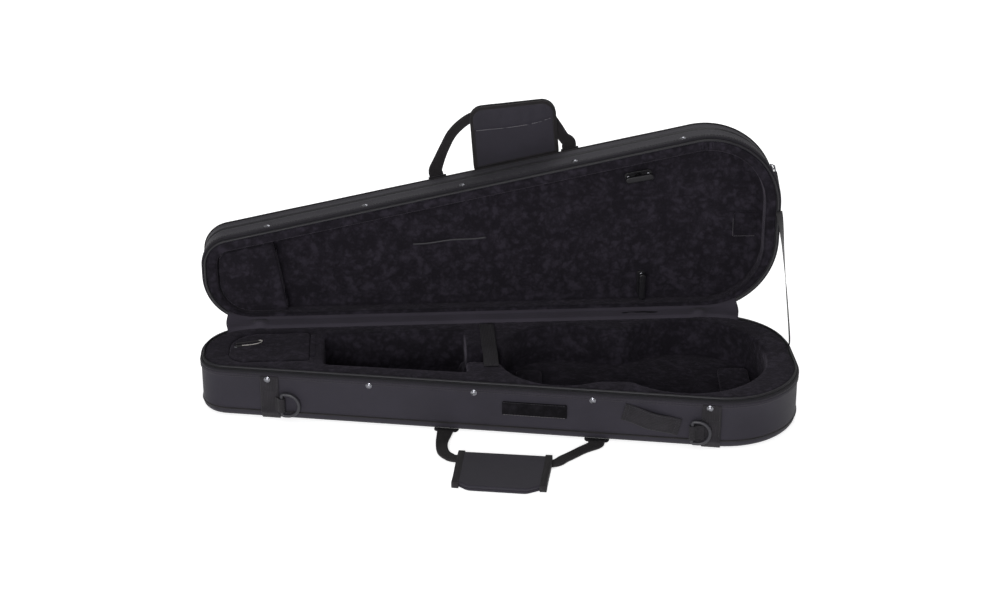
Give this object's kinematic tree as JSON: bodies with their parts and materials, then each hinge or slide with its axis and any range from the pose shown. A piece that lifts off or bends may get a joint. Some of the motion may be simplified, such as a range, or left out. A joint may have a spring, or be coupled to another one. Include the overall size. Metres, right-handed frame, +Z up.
{
  "type": "violin case",
  "caption": "Shaped full-size violin case, open: padded fabric base and hinged lid with plush violin bed, bow holders, zips, carrying handles and strap rings.",
  "frame": {"origin": "centre of the base's footprint on the floor: mid length, mid depth of the wide end, underside", "axes": "+X to the wide end along the straight back edge, +Y to the hinge side, +Z up"},
  "size_m": [0.8077, 0.4618, 0.3628],
  "materials": {
    "cover": "woven nylon, matt",
    "plush": "short-pile plush",
    "webbing": "ribbed webbing",
    "foam": "rigid foam board",
    "black_metal": "black nickel, polished",
    "ring_plastic": "moulded, satin",
    "piping": "bound piping",
    "zip": "nylon coil zip",
    "ribbon": "satin ribbon"
  },
  "bodies": {
    "base": {"base_bottom_cover": "cover", "base_bottom_piping": "piping", "base_side_cover": "cover", "base_shell": "foam", "base_rim_piping": "piping", "base_zip": "zip", "violin_bed": "foam", "bed_top_lining": "plush", "lower_pad": "plush", "upper_pad": "plush", "accessory_tray": "plush", "accessory_hinge_strip": "plush", "strap_patch": "webbing", "base_rivets": "black_metal", "ring_web_left": "webbing", "ring_web_right": "webbing", "ring_loop_left": "webbing", "ring_loop_right": "webbing", "side_grip": "webbing", "hook_patch": "webbing", "base_handle_tabs": "webbing", "main_slider_left": "black_metal", "main_slider_right": "black_metal", "hinge_tape": "cover", "stay_ribbon": "ribbon"},
    "accessory_lid": {"accessory_lid": "plush", "pull_ribbon_rivet": "black_metal"},
    "pull_ribbon": {"pull_ribbon": "ribbon"},
    "neck_strap": {"neck_strap": "webbing"},
    "d_ring_left": {"d_ring_left": "ring_plastic"},
    "d_ring_right": {"d_ring_right": "ring_plastic"},
    "base_handle": {"base_handle_strap": "webbing", "base_handle_grip": "cover"},
    "main_pull_left": {"main_pull_left": "black_metal"},
    "main_pull_right": {"main_pull_right": "black_metal"},
    "lid": {"lid_shell": "foam", "lid_side_cover": "cover", "lid_rim_piping": "piping", "lid_zip": "zip", "lid_border": "plush", "lid_floor_lining": "plush", "bow_tip_pad": "plush", "spinner_plates": "ring_plastic", "spinner_rivets": "black_metal", "lid_patch": "plush", "lid_rivets": "black_metal", "pocket_zip_lower": "zip", "pocket_hinge_strip": "cover"},
    "bow_spinner_rear": {"bow_spinner_rear": "ring_plastic"},
    "bow_spinner_front": {"bow_spinner_front": "ring_plastic"},
    "pocket_slider": {"pocket_slider": "black_metal"},
    "pocket_pull": {"pocket_pull_ring": "black_metal", "pocket_pull_tab": "ring_plastic"},
    "music_pocket": {"pocket_zip_upper": "zip", "pocket_gusset": "cover", "pocket_piping": "piping", "pocket_panel": "cover", "lid_handle_tabs": "webbing"},
    "lid_handle": {"lid_handle_strap": "webbing", "lid_handle_grip": "cover"}
  },
  "joints": [
    {"name": "lid_hinge", "type": "hinge", "parent": "base", "child": "lid", "pos_m": [0, 0.1319, 0.0711], "axis": [-1, 0, 0], "range_deg": [-91.5, 0], "deforming": ["hinge_tape", "stay_ribbon"]},
    {"name": "pocket_hinge", "type": "hinge", "parent": "lid", "child": "music_pocket", "pos_m": [0, 0.17736, 0.07281], "axis": [-1, 0, 0], "range_deg": [0, 60], "deforming": ["pocket_hinge_strip"]},
    {"name": "lid_handle_swing", "type": "hinge", "parent": "music_pocket", "child": "lid_handle", "pos_m": [0.02039, 0.22163, 0.27356], "axis": [-0.9803, -0.0052, -0.1973], "range_deg": [-45, 150]},
    {"name": "pocket_slider_travel", "type": "hinge", "parent": "lid", "child": "pocket_slider", "pos_m": [0.297, 0.181, 0.22727], "axis": [0, 0.9997, -0.0262], "range_deg": [-72, 12]},
    {"name": "pocket_pull_swing", "type": "hinge", "parent": "pocket_slider", "child": "pocket_pull", "pos_m": [0.39579, 0.18226, 0.27332], "axis": [0, -0.9997, 0.0262], "range_deg": [0, 150]},
    {"name": "bow_spinner_rear_turn", "type": "hinge", "parent": "lid", "child": "bow_spinner_rear", "pos_m": [0.2115, 0.15725, 0.10705], "axis": [0, 0.9997, -0.0262], "continuous": true},
    {"name": "bow_spinner_front_turn", "type": "hinge", "parent": "lid", "child": "bow_spinner_front", "pos_m": [0.204, 0.1615, 0.26929], "axis": [0, 0.9997, -0.0262], "continuous": true},
    {"name": "accessory_lid_hinge", "type": "hinge", "parent": "base", "child": "accessory_lid", "pos_m": [-0.2537, 0.064, 0.0715], "axis": [0, 1, 0], "range_deg": [0, 95]},
    {"name": "pull_ribbon_hinge", "type": "hinge", "parent": "accessory_lid", "child": "pull_ribbon", "pos_m": [-0.35097, 0.06988, 0.0719], "axis": [0.2419, -0.9703, 0], "range_deg": [0, 55]},
    {"name": "neck_strap_hinge", "type": "hinge", "parent": "base", "child": "neck_strap", "pos_m": [-0.01, 0.114, 0.07375], "axis": [-1, 0, 0], "range_deg": [0, 110]},
    {"name": "d_ring_left_swing", "type": "hinge", "parent": "base", "child": "d_ring_left", "pos_m": [-0.29099, -0.0173, 0.0246], "axis": [0, 0, -1], "range_deg": [0, 165]},
    {"name": "d_ring_right_swing", "type": "hinge", "parent": "base", "child": "d_ring_right", "pos_m": [0.24571, -0.12534, 0.0246], "axis": [0, 0, -1], "range_deg": [0, 165]},
    {"name": "base_handle_swing", "type": "hinge", "parent": "base", "child": "base_handle", "pos_m": [0.01901, -0.0797, 0.0032], "axis": [-0.9803, 0.1974, 0], "range_deg": [0, 80]},
    {"name": "main_pull_left_swing", "type": "hinge", "parent": "base", "child": "main_pull_left", "pos_m": [-0.324, 0.1317, 0.075], "axis": [1, 0, 0], "range_deg": [0, 50]},
    {"name": "main_pull_right_swing", "type": "hinge", "parent": "base", "child": "main_pull_right", "pos_m": [0.289, 0.1317, 0.075], "axis": [1, 0, 0], "range_deg": [0, 50]}
  ]
}
